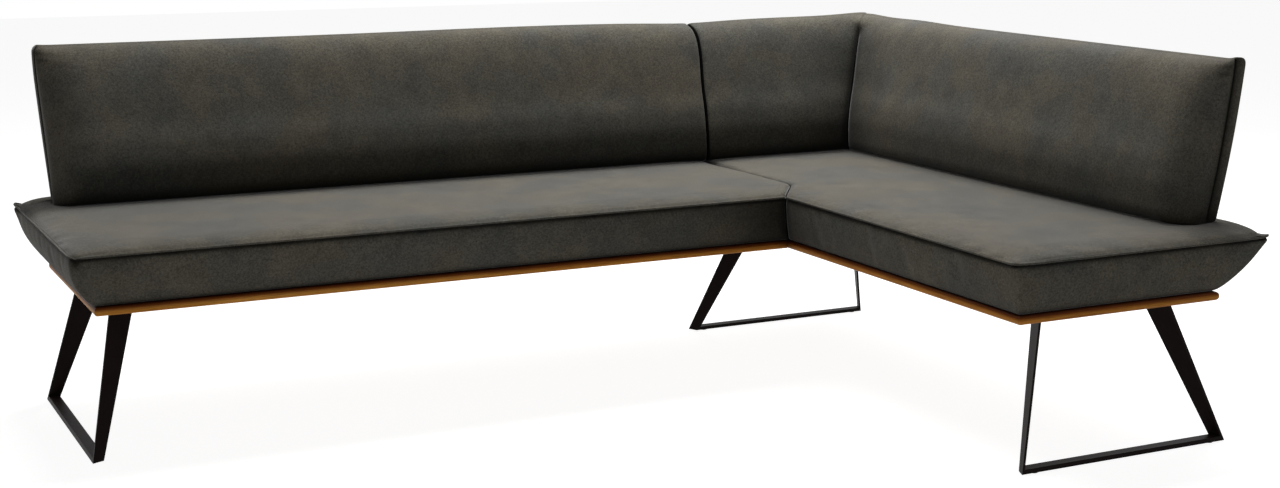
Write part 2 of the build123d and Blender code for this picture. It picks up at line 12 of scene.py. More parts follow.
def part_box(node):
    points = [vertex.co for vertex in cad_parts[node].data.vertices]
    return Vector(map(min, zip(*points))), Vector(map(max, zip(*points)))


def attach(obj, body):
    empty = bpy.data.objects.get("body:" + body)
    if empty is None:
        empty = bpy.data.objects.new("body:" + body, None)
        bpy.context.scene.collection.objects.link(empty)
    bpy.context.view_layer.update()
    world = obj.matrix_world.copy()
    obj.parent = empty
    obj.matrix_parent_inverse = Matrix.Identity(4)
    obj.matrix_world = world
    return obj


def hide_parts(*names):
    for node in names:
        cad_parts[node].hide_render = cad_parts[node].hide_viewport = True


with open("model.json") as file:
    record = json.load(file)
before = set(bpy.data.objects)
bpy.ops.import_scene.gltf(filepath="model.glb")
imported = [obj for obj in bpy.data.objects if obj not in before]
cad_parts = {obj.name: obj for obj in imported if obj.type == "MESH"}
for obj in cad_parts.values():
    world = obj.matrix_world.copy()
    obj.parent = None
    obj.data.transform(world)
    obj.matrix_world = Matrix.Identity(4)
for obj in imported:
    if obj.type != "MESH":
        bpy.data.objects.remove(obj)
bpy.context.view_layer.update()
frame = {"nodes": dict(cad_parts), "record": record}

# Sizes in metres, in the frame of the CAD part
LEFT, RIGHT, FRONT, REAR = -1.243, 1.243, -0.828, 0.828
INNER_X, INNER_Y = 0.525, 0.110
JOINT_X, MITRE_Y = 0.604, 0.214
PLINTH_TOP = 0.360
SEAT_TOP = 0.4940
JOINT_SEAM_Z = 0.4850
HAIRLINE = 0.0004
# The short wing's backrest is the long one's turned: x is y moved by this, and y is x moved back by it
ACROSS = 0.415
BACK_LOW, BACK_HIGH = 0.4944, 0.8735
BAND = 0.026


# Camera, fitted to the photograph

def set_camera():
    yaw, pitch, roll = math.radians(26.85), math.radians(11.07), math.radians(0.16)
    forward = Vector((math.sin(yaw) * math.cos(pitch), math.cos(yaw) * math.cos(pitch), -math.sin(pitch)))
    side = Vector((math.cos(yaw), -math.sin(yaw), 0))
    up = side.cross(forward)
    side2 = side * math.cos(roll) + up * math.sin(roll)
    up2 = up * math.cos(roll) - side * math.sin(roll)
    data = bpy.data.cameras.new("camera")
    data.sensor_width = 36
    data.lens = 52.62
    data.clip_start, data.clip_end = 0.1, 60
    camera = bpy.data.objects.new("camera", data)
    bpy.context.scene.collection.objects.link(camera)
    place = Matrix((side2, up2, -forward)).transposed().to_4x4()
    place.translation = Vector((-1.93125, -3.92117, 1.27723))
    camera.matrix_world = place
    bpy.context.scene.camera = camera


# Node helpers

def new_material(name):
    material = bpy.data.materials.new(name)
    material.use_nodes = True
    nodes, links = material.node_tree.nodes, material.node_tree.links
    nodes.clear()
    return material, nodes, links


def noise_node(nodes, links, vector, scale, detail=3.0, roughness=0.5):
    node = nodes.new("ShaderNodeTexNoise")
    node.inputs["Scale"].default_value = scale
    node.inputs["Detail"].default_value = detail
    node.inputs["Roughness"].default_value = roughness
    links.new(vector, node.inputs["Vector"])
    return node.outputs["Fac"]


def ramp_node(nodes, links, factor, stops):
    node = nodes.new("ShaderNodeValToRGB")
    ramp = node.color_ramp
    while len(ramp.elements) < len(stops):
        ramp.elements.new(0.5)
    for element, (position, colour) in zip(ramp.elements, stops):
        element.position = position
        element.color = (*colour, 1)
    links.new(factor, node.inputs["Fac"])
    return node.outputs["Color"]


def mix_colour(nodes, links, factor, a, b, blend="MIX"):
    node = nodes.new("ShaderNodeMix")
    node.data_type = "RGBA"
    node.blend_type = blend
    for socket, value in ((node.inputs[0], factor), (node.inputs[6], a), (node.inputs[7], b)):
        if isinstance(value, bpy.types.NodeSocket):
            links.new(value, socket)
        elif isinstance(value, tuple):
            socket.default_value = (*value, 1)
        else:
            socket.default_value = value
    return node.outputs[2]


def math_node(nodes, links, operation, a, b=0.0):
    node = nodes.new("ShaderNodeMath")
    node.operation = operation
    for socket, value in ((node.inputs[0], a), (node.inputs[1], b)):
        if isinstance(value, bpy.types.NodeSocket):
            links.new(value, socket)
        else:
            socket.default_value = value
    return node.outputs[0]


def ao_share(nodes, links, distance, power):
    # From 0 where surfaces nearly meet, within a distance, to 1 in the open
    node = nodes.new("ShaderNodeAmbientOcclusion")
    node.samples = 6
    node.inputs["Distance"].default_value = distance
    return math_node(nodes, links, "POWER", node.outputs["AO"], power)


def openness(nodes, links):
    # Share of the colour left by the painted shade, from 0 deep in a seam to 1 in the open: fine and broad creases,
    # and the marks that the meshes carry
    fine, broad = ao_share(nodes, links, 0.030, 1.5), ao_share(nodes, links, 0.200, 1.8)
    marks = []
    for name in ("open_top", "seam_shade"):
        node = nodes.new("ShaderNodeAttribute")
        node.attribute_name = name
        marks.append(node.outputs["Fac"])
    share = math_node(nodes, links, "MAXIMUM", math_node(nodes, links, "MULTIPLY", fine, broad), marks[0])
    return math_node(nodes, links, "MULTIPLY", share, math_node(nodes, links, "SUBTRACT", 1.0, marks[1]))


def object_vector(nodes, links, scale=(1, 1, 1), turn=(0, 0, 0)):
    place = nodes.new("ShaderNodeTexCoord")
    mapping = nodes.new("ShaderNodeMapping")
    mapping.inputs["Scale"].default_value = scale
    mapping.inputs["Rotation"].default_value = turn
    links.new(place.outputs["Object"], mapping.inputs["Vector"])
    return mapping.outputs["Vector"]


def surface(nodes, links, roughness, colour=None, bump=None, bump_strength=0.2, bump_distance=0.001):
    shader = nodes.new("ShaderNodeBsdfPrincipled")
    shader.inputs["Roughness"].default_value = roughness
    output = nodes.new("ShaderNodeOutputMaterial")
    if isinstance(colour, bpy.types.NodeSocket):
        links.new(colour, shader.inputs["Base Color"])
    elif colour:
        shader.inputs["Base Color"].default_value = (*colour, 1)
    if bump:
        node = nodes.new("ShaderNodeBump")
        node.inputs["Strength"].default_value = bump_strength
        node.inputs["Distance"].default_value = bump_distance
        links.new(bump, node.inputs["Height"])
        links.new(node.outputs["Normal"], shader.inputs["Normal"])
    links.new(shader.outputs["BSDF"], output.inputs["Surface"])
    return shader


# Materials

def fabric_material(name):
    # Dark microfibre: clouds of brownish and bluish grey, a short suede nap and a fine grain
    material, nodes, links = new_material(name)
    vector = object_vector(nodes, links)
    clouds = noise_node(nodes, links, vector, 5.5, 3.0, 0.55)
    patches = noise_node(nodes, links, vector, 17.0, 4.0, 0.6)
    grain = noise_node(nodes, links, vector, 190.0, 3.0, 0.75)
    specks = noise_node(nodes, links, vector, 480.0, 2.0, 0.6)
    threads = noise_node(nodes, links, object_vector(nodes, links, (900, 900, 160)), 1.0, 2.0, 0.5)
    hue = ramp_node(nodes, links, clouds, [
        (0.36, (0.104, 0.104, 0.094)), (0.50, (0.118, 0.112, 0.093)), (0.64, (0.134, 0.122, 0.098)),
    ])
    tone = ramp_node(nodes, links, patches, [(0.30, (0.86, 0.86, 0.87)), (0.70, (1.13, 1.13, 1.11))])
    toned = mix_colour(nodes, links, 1.0, hue, tone, "MULTIPLY")
    fleck = ramp_node(nodes, links, grain, [(0.30, (0.55, 0.55, 0.56)), (0.70, (1.45, 1.43, 1.40))])
    flecked = mix_colour(nodes, links, 0.85, toned, fleck, "MULTIPLY")
    dust = ramp_node(nodes, links, specks, [(0.35, (0.74, 0.74, 0.74)), (0.70, (1.30, 1.28, 1.26))])
    colour = mix_colour(nodes, links, 0.7, flecked, dust, "MULTIPLY")
    # Painted shade: the colour darkens to near black in seams, creases and along the marked lines
    colour = mix_colour(nodes, links, openness(nodes, links), (0.004, 0.004, 0.003), colour)
    height = math_node(nodes, links, "ADD", grain, math_node(nodes, links, "MULTIPLY", threads, 0.6))
    shader = surface(nodes, links, 0.92, colour, height, 0.60, 0.0007)
    shader.inputs["Specular IOR Level"].default_value = 0.05
    shader.inputs["Sheen Weight"].default_value = 0.9
    shader.inputs["Sheen Roughness"].default_value = 0.30
    shader.inputs["Sheen Tint"].default_value = (0.80, 0.79, 0.775, 1)
    return material


def oak_material(name, along):
    # Oiled oak with the grain along one axis
    material, nodes, links = new_material(name)
    stretch = {"x": (2.2, 42, 60), "y": (42, 2.2, 60)}[along]
    vector = object_vector(nodes, links, stretch)
    bend = noise_node(nodes, links, vector, 1.0, 5.0, 0.62)
    fine_vector = object_vector(nodes, links, tuple(v * 9 for v in stretch))
    fine = noise_node(nodes, links, fine_vector, 1.0, 3.0, 0.6)
    tint = noise_node(nodes, links, object_vector(nodes, links), 3.0, 2.0, 0.5)
    grain = ramp_node(nodes, links, bend, [
        (0.26, (0.420, 0.150, 0.020)),
        (0.46, (0.640, 0.270, 0.042)),
        (0.62, (0.780, 0.370, 0.075)),
        (0.80, (0.860, 0.470, 0.130)),
    ])
    pores = ramp_node(nodes, links, fine, [(0.34, (0.62, 0.56, 0.5)), (0.52, (1.0, 1.0, 1.0))])
    pored = mix_colour(nodes, links, 0.75, grain, pores, "MULTIPLY")
    warm = ramp_node(nodes, links, tint, [(0.3, (0.88, 0.84, 0.78)), (0.7, (1.08, 1.06, 1.02))])
    colour = mix_colour(nodes, links, 1.0, pored, warm, "MULTIPLY")
    # Painted shade: the colour darkens to a deep red brown where other surfaces lie close, as under the cushion
    colour = mix_colour(nodes, links, ao_share(nodes, links, 0.045, 2.2), (0.030, 0.006, 0.001), colour)
    # Painted shadow: the top of the plinth, under the overhanging cushion, is darkened to brown by height
    place = nodes.new("ShaderNodeSeparateXYZ")
    links.new(object_vector(nodes, links, (1, 1, 1 / PLINTH_TOP)), place.inputs["Vector"])
    edge = ramp_node(nodes, links, place.outputs["Z"], [
        (0.965, (1.0, 1.0, 1.0)), (0.985, (0.34, 0.20, 0.12)),
    ])
    colour = mix_colour(nodes, links, 1.0, colour, edge, "MULTIPLY")
    shader = surface(nodes, links, 0.48, colour, fine, 0.18, 0.0004)
    shader.inputs["Specular IOR Level"].default_value = 0.08
    return material


def steel_material():
    # Black powder coat, with the fine orange-peel of the paint
    material, nodes, links = new_material("black_powder_coat")
    vector = object_vector(nodes, links)
    peel = noise_node(nodes, links, vector, 900.0, 2.0, 0.5)
    wear = noise_node(nodes, links, vector, 26.0, 3.0, 0.6)
    colour = ramp_node(nodes, links, wear, [
        (0.35, (0.0062, 0.0030, 0.0026)), (0.70, (0.0105, 0.0060, 0.0052)),
    ])
    shader = surface(nodes, links, 0.46, colour, peel, 0.25, 0.0003)
    shader.inputs["Specular IOR Level"].default_value = 0.05
    return material


def plain_material(name, low, high, scale, roughness, metallic=0.0, bump=0.15, stretch=(1, 1, 1), specular=0.5):
    material, nodes, links = new_material(name)
    pattern = noise_node(nodes, links, object_vector(nodes, links, stretch), scale, 4.0, 0.6)
    colour = ramp_node(nodes, links, pattern, [(0.32, low), (0.68, high)])
    shader = surface(nodes, links, roughness, colour, pattern, bump, 0.0004)
    shader.inputs["Metallic"].default_value = metallic
    shader.inputs["Specular IOR Level"].default_value = specular
    return material


def paint_cad_nodes():
    oak_x, oak_y = oak_material("oak_along_x", "x"), oak_material("oak_along_y", "y")
    steel = steel_material()
    beech = plain_material("beech", (0.50, 0.34, 0.20), (0.64, 0.46, 0.30), 60.0, 0.6, stretch=(1, 1, 0.2))
    plywood = plain_material("plywood", (0.46, 0.33, 0.19), (0.60, 0.45, 0.28), 40.0, 0.65)
    webbing = plain_material("webbing", (0.055, 0.05, 0.045), (0.12, 0.11, 0.10), 500.0, 0.9, bump=0.5)
    lining = plain_material("black_lining", (0.006, 0.006, 0.006), (0.018, 0.018, 0.019), 700.0, 0.95, bump=0.5)
    zinc = plain_material("zinc_steel", (0.38, 0.39, 0.41), (0.55, 0.56, 0.58), 120.0, 0.38, metallic=1.0)
    glide = plain_material("glide_plastic", (0.010, 0.010, 0.010), (0.022, 0.022, 0.022), 300.0, 0.6)
    slots = {row["node"]: row["material_slot"] for row in frame["record"]["subparts"]}
    chosen = {
        "black_steel": steel, "beech": beech, "plywood": plywood, "webbing": webbing, "lining": lining,
        "zinc_steel": zinc, "glide_plastic": glide,
    }
    for name, piece in frame["nodes"].items():
        slot = slots[name]
        if slot == "oak":
            low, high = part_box(name)
            material = oak_x if high.x - low.x > high.y - low.y else oak_y
        elif slot in chosen:
            material = chosen[slot]
        else:
            continue
        piece.data.materials.clear()
        piece.data.materials.append(material)


# Floor, light and background

def grey_shader(nodes, kind, grey, strength=None):
    node = nodes.new(kind)
    node.inputs["Color"].default_value = (grey, grey, grey, 1)
    if strength is not None:
        node.inputs["Strength"].default_value = strength
    return node.outputs[0]


def split_rays(nodes, links, lighting, shown, output):
    # One shader for the rays that show a surface, straight, mirrored or through it, and another for the light
    # that it gives back
    paths = nodes.new("ShaderNodeLightPath")
    seen = math_node(nodes, links, "MAXIMUM", paths.outputs["Is Camera Ray"], paths.outputs["Is Glossy Ray"])
    seen = math_node(nodes, links, "MAXIMUM", seen, paths.outputs["Is Transmission Ray"])
    mix = nodes.new("ShaderNodeMixShader")
    for source, socket in zip((seen, lighting, shown), mix.inputs):
        links.new(source, socket)
    links.new(mix.outputs[0], nodes.new(output).inputs["Surface"])


def lamp(name, place, target, size, power):
    data = bpy.data.lights.new(name, "AREA")
    data.shape = "RECTANGLE"
    data.size, data.size_y = size
    data.energy = power
    light = bpy.data.objects.new(name, data)
    bpy.context.scene.collection.objects.link(light)
    light.location = place
    light.rotation_mode = "QUATERNION"
    light.rotation_quaternion = (Vector(target) - Vector(place)).to_track_quat("-Z", "Y")


def set_stage():
    # A pale floor and a near white background, bright to the camera and dim to the light they give back
    material, nodes, links = new_material("pale_floor")
    both = nodes.new("ShaderNodeAddShader")
    links.new(grey_shader(nodes, "ShaderNodeBsdfDiffuse", 0.42), both.inputs[0])
    links.new(grey_shader(nodes, "ShaderNodeEmission", 1, 0.93), both.inputs[1])
    dim = grey_shader(nodes, "ShaderNodeBsdfDiffuse", 0.70)
    split_rays(nodes, links, dim, both.outputs[0], "ShaderNodeOutputMaterial")
    half = 14.0
    corners = [(-half, -half, 0), (half, -half, 0), (half, half, 0), (-half, half, 0)]
    make_mesh("floor", corners, [(0, 1, 2, 3)], material)

    world = bpy.data.worlds.new("studio")
    bpy.context.scene.world = world
    world.use_nodes = True
    nodes, links = world.node_tree.nodes, world.node_tree.links
    nodes.clear()
    ambient, white = (grey_shader(nodes, "ShaderNodeBackground", 1, strength) for strength in (0.03, 1.0))
    split_rays(nodes, links, ambient, white, "ShaderNodeOutputWorld")

    lamp("overhead", (0.7, 1.05, 3.6), (0.7, 0.95, 0.0), (3.4, 1.6), 114)
    lamp("rear_right", (2.2, 1.5, 3.2), (0.4, -0.3, 0.4), (2.4, 1.6), 73)
    lamp("front_fill", (-0.8, -4.6, 1.7), (0.0, 0.0, 0.5), (3.0, 1.6), 21)
    lamp("left_fill", (-4.6, 0.2, 1.0), (0.0, 0.0, 0.5), (2.6, 1.6), 7.5)
    bpy.context.scene.view_settings.view_transform = "Standard"


# Mesh helpers

PRESSURE, CLOTH_STEPS = 3.5, 20
TUBE_SIDES, TUBE_STEP, LIP_OUT = 8, 0.006, 0.0010


def bell(x, centre, width):
    return np.exp(-((x - centre) / width) ** 2)


def path_length(line):
    return np.linalg.norm(np.diff(line, axis=0), axis=1).sum()


def make_mesh(name, points, faces, material):
    mesh = bpy.data.meshes.new(name)
    mesh.from_pydata([tuple(p) for p in points], [], [tuple(f) for f in faces])
    mesh.validate()
    for polygon in mesh.polygons:
        polygon.use_smooth = True
    mesh.materials.append(material)
    piece = bpy.data.objects.new(name, mesh)
    bpy.context.scene.collection.objects.link(piece)
    return piece


def mark(piece, name, values):
    # A number at each point, for a material to read
    layer = piece.data.attributes.new(name, "FLOAT", "POINT")
    layer.data.foreach_set("value", np.asarray(values, np.float32))


def tidy(piece, distance=0.00006):
    work = bmesh.new()
    work.from_mesh(piece.data)
    bmesh.ops.remove_doubles(work, verts=work.verts, dist=distance)
    bmesh.ops.dissolve_degenerate(work, edges=work.edges, dist=distance)
    bmesh.ops.recalc_face_normals(work, faces=work.faces)
    for face in work.faces:
        face.smooth = True
    work.to_mesh(piece.data)
    work.free()


# Painted shade: the chosen faces in joints and cracks get the second material, a near black cloth without sheen
def darken_faces(piece, chosen, material):
    piece.data.materials.append(material)
    for index in chosen:
        piece.data.polygons[index].material_index = 1


def apply_all(piece):
    graph = bpy.context.evaluated_depsgraph_get()
    done = bpy.data.meshes.new_from_object(piece.evaluated_get(graph), depsgraph=graph)
    piece.modifiers.clear()
    piece.data = done


def soften(piece):
    # One step of subdivision, then the open loops are closed with flat faces
    modifier = piece.modifiers.new("soften", "SUBSURF")
    modifier.levels = modifier.render_levels = 1
    apply_all(piece)
    work = bmesh.new()
    work.from_mesh(piece.data)
    bmesh.ops.holes_fill(work, edges=[edge for edge in work.edges if edge.is_boundary])
    bmesh.ops.recalc_face_normals(work, faces=work.faces)
    work.to_mesh(piece.data)
    work.free()
    for polygon in piece.data.polygons:
        polygon.use_smooth = True


def inflate(piece, held, cap):
    # A cloth simulation swells the panels between the held seams; no point moves more than its cap
    rest = np.array([v.co for v in piece.data.vertices], float)
    group = piece.vertex_groups.new(name="held")
    for index, weight in enumerate(held):
        group.add([index], float(weight), "REPLACE")
    modifier = piece.modifiers.new("cloth", "CLOTH")
    settings = modifier.settings
    settings.quality = 5
    settings.mass = 0.3
    settings.tension_stiffness = settings.compression_stiffness = 12
    settings.shear_stiffness = 6
    settings.bending_stiffness = 4.0
    settings.use_pressure = True
    settings.uniform_pressure_force = PRESSURE
    settings.effector_weights.gravity = 0
    settings.vertex_group_mass = "held"
    settings.shrink_min = -0.012
    modifier.collision_settings.use_collision = False
    scene = bpy.context.scene
    modifier.point_cache.frame_start, modifier.point_cache.frame_end = 1, CLOTH_STEPS
    for step in range(1, CLOTH_STEPS + 1):
        scene.frame_set(step)
    graph = bpy.context.evaluated_depsgraph_get()
    swollen = piece.evaluated_get(graph).to_mesh()
    moved = np.array([v.co for v in swollen.vertices], float) - rest
    piece.evaluated_get(graph).to_mesh_clear()
    piece.modifiers.clear()
    piece.vertex_groups.clear()
    scene.frame_set(1)
    length = np.linalg.norm(moved, axis=1)
    limit = np.asarray(cap) * np.tanh(length / np.maximum(cap, 1e-9))
    moved *= (limit / np.maximum(length, 1e-9))[:, None]
    piece.data.vertices.foreach_set("co", (rest + moved).astype(np.float32).ravel())
    piece.data.update()


def spread(length, first, last, step):
    # Places along a length: close together at both ends, even in between
    span = length - first[-1] - last[-1]
    middle = max(1, round(span / step))
    inside = [first[-1] + span * i / middle for i in range(1, middle)]
    return [*first, *inside, *(length - d for d in reversed(last))]


def resample(line, places):
    line = np.asarray(line, float)
    run = np.concatenate([[0], np.cumsum(np.linalg.norm(np.diff(line, axis=0), axis=1))])
    run /= run[-1]
    return np.stack([np.interp(places, run, line[:, k]) for k in range(line.shape[1])], 1)


def waves(points, size, seed):
    # Smooth unevenness from -1 to 1 at a given size, the same on every run
    shift = Vector((seed * 7.3, seed * 3.1, seed * 1.7))
    return np.array([noise.noise(Vector(p) / size + shift) for p in points])


def segment_distance(points, a, b):
    a, b = np.array(a, float), np.array(b, float)
    t = np.clip(((points - a) @ (b - a)) / ((b - a) @ (b - a)), 0, 1)
    return np.linalg.norm(points - (a + t[:, None] * (b - a)), axis=1)


def sewn_lip(name, line, radii, material):
    # A thin lip along a seam: a closed tube on an open line, a little outside it
    count = max(3, int(path_length(line) / TUBE_STEP))
    places = np.linspace(0, 1, count)
    both = resample(np.column_stack([line, radii]), places)
    points, sizes = both[:, :3], both[:, 3]
    ahead = np.gradient(points, axis=0)
    ahead /= np.linalg.norm(ahead, axis=1)[:, None]
    side = np.cross(ahead, (0, 0, 1))
    side /= np.linalg.norm(side, axis=1)[:, None]
    up = np.cross(side, ahead)
    rings = []
    for k in range(TUBE_SIDES):
        t = 2 * math.pi * k / TUBE_SIDES
        rings.append(points + (side * math.cos(t) + up * math.sin(t)) * sizes[:, None] + side * LIP_OUT)
    rings = np.stack(rings, 1)
    last = TUBE_SIDES * (count - 1)
    faces = [tuple(range(TUBE_SIDES)), tuple(last + k for k in reversed(range(TUBE_SIDES)))]
    for a in range(0, last, TUBE_SIDES):
        b = a + TUBE_SIDES
        for k in range(TUBE_SIDES):
            m = (k + 1) % TUBE_SIDES
            faces.append((a + k, b + k, b + m, a + m))
    piece = make_mesh(name, rings.reshape(-1, 3), faces, material)
    tidy(piece)
    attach(piece, "root")


def offset_polygon(corners, insets):
    # Each edge, from its corner to the next, is drawn in by its own amount
    count = len(corners)
    lines = []
    for i in range(count):
        a, b = np.array(corners[i], float), np.array(corners[(i + 1) % count], float)
        d = (b - a) / np.linalg.norm(b - a)
        normal = np.array([-d[1], d[0]])
        lines.append((a + normal * insets[i], d))
    result = []
    for i in range(count):
        (p, d), (q, e) = lines[i - 1], lines[i]
        t = np.linalg.solve(np.stack([d, -e], 1), q - p)[0]
        result.append(p + d * t)
    return result


def rounded_edges(corners, radii, steps=9):
    # For each edge, a line from the middle of one round corner to the middle of the next
    count = len(corners)
    arcs = []
    for i in range(count):
        p = corners[i]
        a, b = corners[i - 1] - p, corners[(i + 1) % count] - p
        a, b = a / np.linalg.norm(a), b / np.linalg.norm(b)
        angle = math.acos(float(np.clip(a @ b, -1, 1)))
        if radii[i] <= 0 or angle > math.pi - 0.02:
            arcs.append(np.array([p, p, p]))
            continue
        reach = radii[i] / math.tan(angle / 2)
        centre = p + (a + b) / np.linalg.norm(a + b) * radii[i] / math.sin(angle / 2)
        start, end = p + a * reach - centre, p + b * reach - centre
        turn = math.atan2(start[0] * end[1] - start[1] * end[0], float(start @ end))
        line = []
        for k in range(2 * steps + 1):
            t = turn * k / (2 * steps)
            line.append(centre + np.array([
                start[0] * math.cos(t) - start[1] * math.sin(t),
                start[0] * math.sin(t) + start[1] * math.cos(t),
            ]))
        arcs.append(np.array(line))
    edges = []
    for i in range(count):
        here, there = arcs[i], arcs[(i + 1) % count]
        edges.append(np.concatenate([here[len(here) // 2:], there[:len(there) // 2 + 1]]))
    return edges


# Seats

# An edge of a seat's plan: how far it draws in at the plinth and how much it bulges, whether its seam shows,
# how far the rounding of the top reaches from it and how dark the top is painted in shade beside it
Edge = namedtuple("Edge", "inset bulge shows reach dark")
HIDDEN = Edge(0, 0, False, 0.014, 0)
# The corner that both seats share: the edge beside it that shows, a push in plan and the depth of the painted shade
# around it
Inner = namedtuple("Inner", "corner edge push gloom")
# A corner that is drawn out to a point, and one that is tucked in, with a depth of painted shade in its fold
Ear = namedtuple("Ear", "corner reach lift")
Tuck = namedtuple("Tuck", "corner move size dark")
# The swollen strip behind the backrest, across x or y (0 or 1)
Strip = namedtuple("Strip", "axis place rise")

# Rows of points below the seam, and columns beside the corners
DROPS = (0, 0.0022, 0.0046, 0.0080, 0.0130, 0.0210, 0.0330, 0.0480, 0.0650, 0.0810, 0.0950, 0.1050, 0.1110, 0.1140)
NEAR = (0, 0.0026, 0.0056, 0.0095, 0.0150, 0.0230, 0.0340, 0.0480)
COLUMN_STEP = 0.0150
# The rows that the cloth simulation leaves free lie between these drops
SEAM_ROWS_END, LOW_ROWS_START = 0.006, 0.104
# Side panels: groove under the seam, swell, tuck at the plinth and the least corner radius
SEAM_GROOVE, SEAM_GROOVE_AT, SEAM_GROOVE_WIDTH = 0.0048, 0.0048, 0.0026
SIDE_SWELL, SWELL_HEIGHT = 0.0042, 0.112
FOOT_TUCK, FOOT_TUCK_FROM, FOOT_TUCK_SPAN = 0.0050, 0.1060, 0.0080
LEAST_RADIUS = 0.007
SIDE_WAVES = 0.0012
# Top panel: groove beside the seam, low waves, and the dip along the joint behind the seat's middle
TOP_GROOVE, TOP_GROOVE_AT, TOP_GROOVE_WIDTH = 0.0018, 0.0075, 0.0036
TOP_WAVES = 0.0016
STRIP_WIDTH = 0.018
JOINT_DIP, JOINT_DIP_WIDTH = 0.0030, 0.045
LIP_RADIUS = 0.0025
EAR_SIZE, EAR_FOLD = 0.022, 0.0030
CRACK_SHADE = 0.75
SIDE_CAP, TOP_CAP = 0.0018, 0.0008


def corner_shares(lines, side):
    # How far along a side its corners lie, from 0 to 1
    runs = [path_length(lines[i]) for i in side]
    return np.concatenate([[0], np.cumsum(runs)]) / sum(runs)


def edge_distance(seat, points, i):
    corners = seat.corners
    return segment_distance(points[:, :2], corners[i], corners[(i + 1) % len(corners)])


def nearest_edge(seat, points, shows):
    # Distance in plan to the nearest edge of one kind
    return np.min([edge_distance(seat, points, i) for i, edge in enumerate(seat.edges) if edge.shows == shows], 0)


def set_columns(seat):
    # Shares of the four sides at which columns of points stand, with one on each corner inside a side
    full = rounded_edges(seat.corners, seat.radii)
    lengths = [sum(path_length(full[i]) for i in side) for side in seat.sides]
    means = [(lengths[k] + lengths[k + 2]) / 2 for k in (0, 1)]
    across, along = (np.array(spread(mean, NEAR, NEAR, COLUMN_STEP)) / mean for mean in means)
    seat.turns = [corner_shares(full, side) for side in seat.sides]
    for k, row in enumerate((across, along, across, along)):
        for share in seat.turns[k][1:-1]:
            share = share if k < 2 else 1 - share
            row[np.abs(row - share).argmin()] = share
    seat.places = (across, along, 1 - across[::-1], 1 - along[::-1])


def seat_level(seat, drop):
    # The outline at a drop below the seam, as four sides of points. The seam has its own heights, and the rows
    # below it drop evenly to the plinth.
    h = 1 - drop / DROPS[-1]
    tuck = FOOT_TUCK * max(0.0, (drop - FOOT_TUCK_FROM) / FOOT_TUCK_SPAN) ** 2
    groove = swell = 0.0
    if drop > 0:
        groove = SEAM_GROOVE * bell(drop, SEAM_GROOVE_AT, SEAM_GROOVE_WIDTH) + 0.0012 * math.exp(-drop / 0.010)
        swell = SIDE_SWELL * math.sin(math.pi * min(1.0, drop / SWELL_HEIGHT)) ** 0.8
    insets = []
    for edge in seat.edges:
        pull = (1 - h) * (1 - edge.bulge * h)
        insets.append(pull * edge.inset + tuck + (groove - swell if edge.shows else HAIRLINE))
    shape = offset_polygon(seat.corners, insets)
    inner = seat.inner
    shape[inner.corner] = seat.corners[inner.corner] + insets[inner.edge] + np.array(inner.push)
    lines = rounded_edges(shape, [r and LEAST_RADIUS + (r - LEAST_RADIUS) * h ** 0.7 for r in seat.radii])
    level = []
    for side, seam, places, turns in zip(seat.sides, seat.seams, seat.places, seat.turns):
        line = np.concatenate([lines[i] for i in side])
        line = resample(line, np.interp(places, turns, corner_shares(lines, side)))
        z = np.interp(places, turns, seam)
        level.append(np.column_stack([line, z + (PLINTH_TOP + 0.0002 - z) * (drop / DROPS[-1])]))
    return level


def seat_top(seat, outline):
    # The top panel: a patch between the four sides, crowned, with a groove beside each seam that shows.
    # Gives its points, how dark their painted shade is and how open they lie.
    u, v = seat.places[0][:, None, None], seat.places[1][None, :, None]
    bottom, right, top, left = outline[0], outline[1], outline[2][::-1], outline[3][::-1]
    patch = (
        (1 - v) * bottom[:, None] + v * top[:, None] + (1 - u) * left[None] + u * right[None]
        - (1 - u) * (1 - v) * bottom[0] - u * (1 - v) * bottom[-1] - (1 - u) * v * top[0] - u * v * top[-1]
    )
    flat = patch.reshape(-1, 3)
    grow, clear = np.ones(len(flat)), np.ones(len(flat))
    groove, shade = np.zeros(len(flat)), np.zeros(len(flat))
    for i, edge in enumerate(seat.edges):
        d = edge_distance(seat, flat, i)
        q = np.clip(1 - d / edge.reach, 0, 1)
        grow *= np.sqrt(1 - q * q)
        if edge.shows:
            groove -= TOP_GROOVE * bell(d, TOP_GROOVE_AT, TOP_GROOVE_WIDTH)
            shade = np.maximum(shade, edge.dark * bell(d, 0.0065, 0.0060))
            clear *= np.clip((d - 0.003) / 0.010, 0, 1)
        else:
            clear *= np.clip((d - 0.008) / 0.014, 0, 1)
    base = flat[:, 2].copy()
    height = base + (SEAT_TOP - base) * grow + groove * np.minimum(grow * 4, 1)
    height -= TOP_WAVES * np.clip(waves(flat * (1, 1, 0), 0.22, 3) + 0.1, 0, 1) * grow
    height = np.minimum(height, np.maximum(base + 0.001, SEAT_TOP))
    strip = seat.strip
    height += strip.rise * bell(flat[:, strip.axis], strip.place, STRIP_WIDTH) * grow
    behind = np.clip((flat[:, 1] - 0.42) / 0.20, 0, 1) * np.clip((0.775 - flat[:, 1]) / 0.03, 0, 1)
    height -= JOINT_DIP * bell(flat[:, 0], JOINT_X, JOINT_DIP_WIDTH) * behind
    flat[:, 2] = height
    return flat, shade, clear


